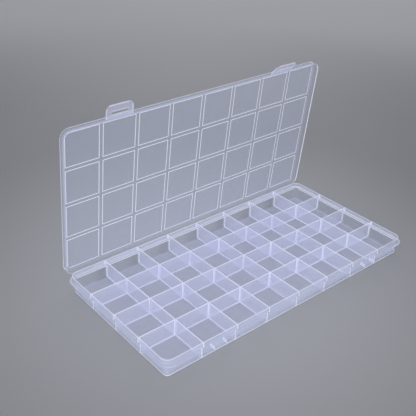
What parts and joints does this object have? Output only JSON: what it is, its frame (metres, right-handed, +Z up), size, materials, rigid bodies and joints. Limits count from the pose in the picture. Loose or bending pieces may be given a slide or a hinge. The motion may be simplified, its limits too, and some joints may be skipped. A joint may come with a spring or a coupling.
{
  "type": "compartment organizer box",
  "caption": "Flat translucent plastic box with a grid of equal compartments, a lid on film hinges and slotted latch flaps that hook onto catches on the front wall.",
  "frame": {"origin": "centre of the tray's underside, on the table", "axes": "+X along the long side, to the right seen from the latches; +Y towards the hinge; +Z up"},
  "size_m": [0.2996, 0.1597, 0.1757],
  "materials": {
    "polypropylene": "translucent, faintly frosted",
    "polypropylene_divider": "translucent, faintly frosted, brighter at the top edges",
    "polypropylene_film": "translucent, whitened where it bends"
  },
  "bodies": {
    "tray": {"tray_shell": "polypropylene", "cross_divider_1": "polypropylene_divider", "cross_divider_2": "polypropylene_divider", "cross_divider_3": "polypropylene_divider", "cross_divider_4": "polypropylene_divider", "cross_divider_5": "polypropylene_divider", "cross_divider_6": "polypropylene_divider", "cross_divider_7": "polypropylene_divider", "long_divider_1": "polypropylene_divider", "long_divider_2": "polypropylene_divider", "long_divider_3": "polypropylene_divider", "catch_left": "polypropylene", "catch_right": "polypropylene", "lid_hinge_film_left": "polypropylene_film", "lid_hinge_film_right": "polypropylene_film"},
    "lid": {"lid_shell": "polypropylene", "latch_hinge_film_left": "polypropylene_film", "latch_hinge_film_right": "polypropylene_film"},
    "latch_left": {"latch_left": "polypropylene"},
    "latch_right": {"latch_right": "polypropylene"}
  },
  "joints": [
    {"name": "lid_hinge", "type": "hinge", "parent": "tray", "child": "lid", "pos_m": [0, 0.0759, 0.0134], "axis": [-1, 0, 0], "range_deg": [-83.7, 96.3], "deforming": ["lid_hinge_film_left", "lid_hinge_film_right"]},
    {"name": "latch_left_hinge", "type": "hinge", "parent": "lid", "child": "latch_left", "pos_m": [-0.0944, 0.05969, 0.16383], "axis": [1, 0, 0], "range_deg": [-23, 87], "deforming": ["latch_hinge_film_left"]},
    {"name": "latch_right_hinge", "type": "hinge", "parent": "lid", "child": "latch_right", "pos_m": [0.0944, 0.05969, 0.16383], "axis": [1, 0, 0], "range_deg": [-58, 52], "deforming": ["latch_hinge_film_right"]}
  ]
}
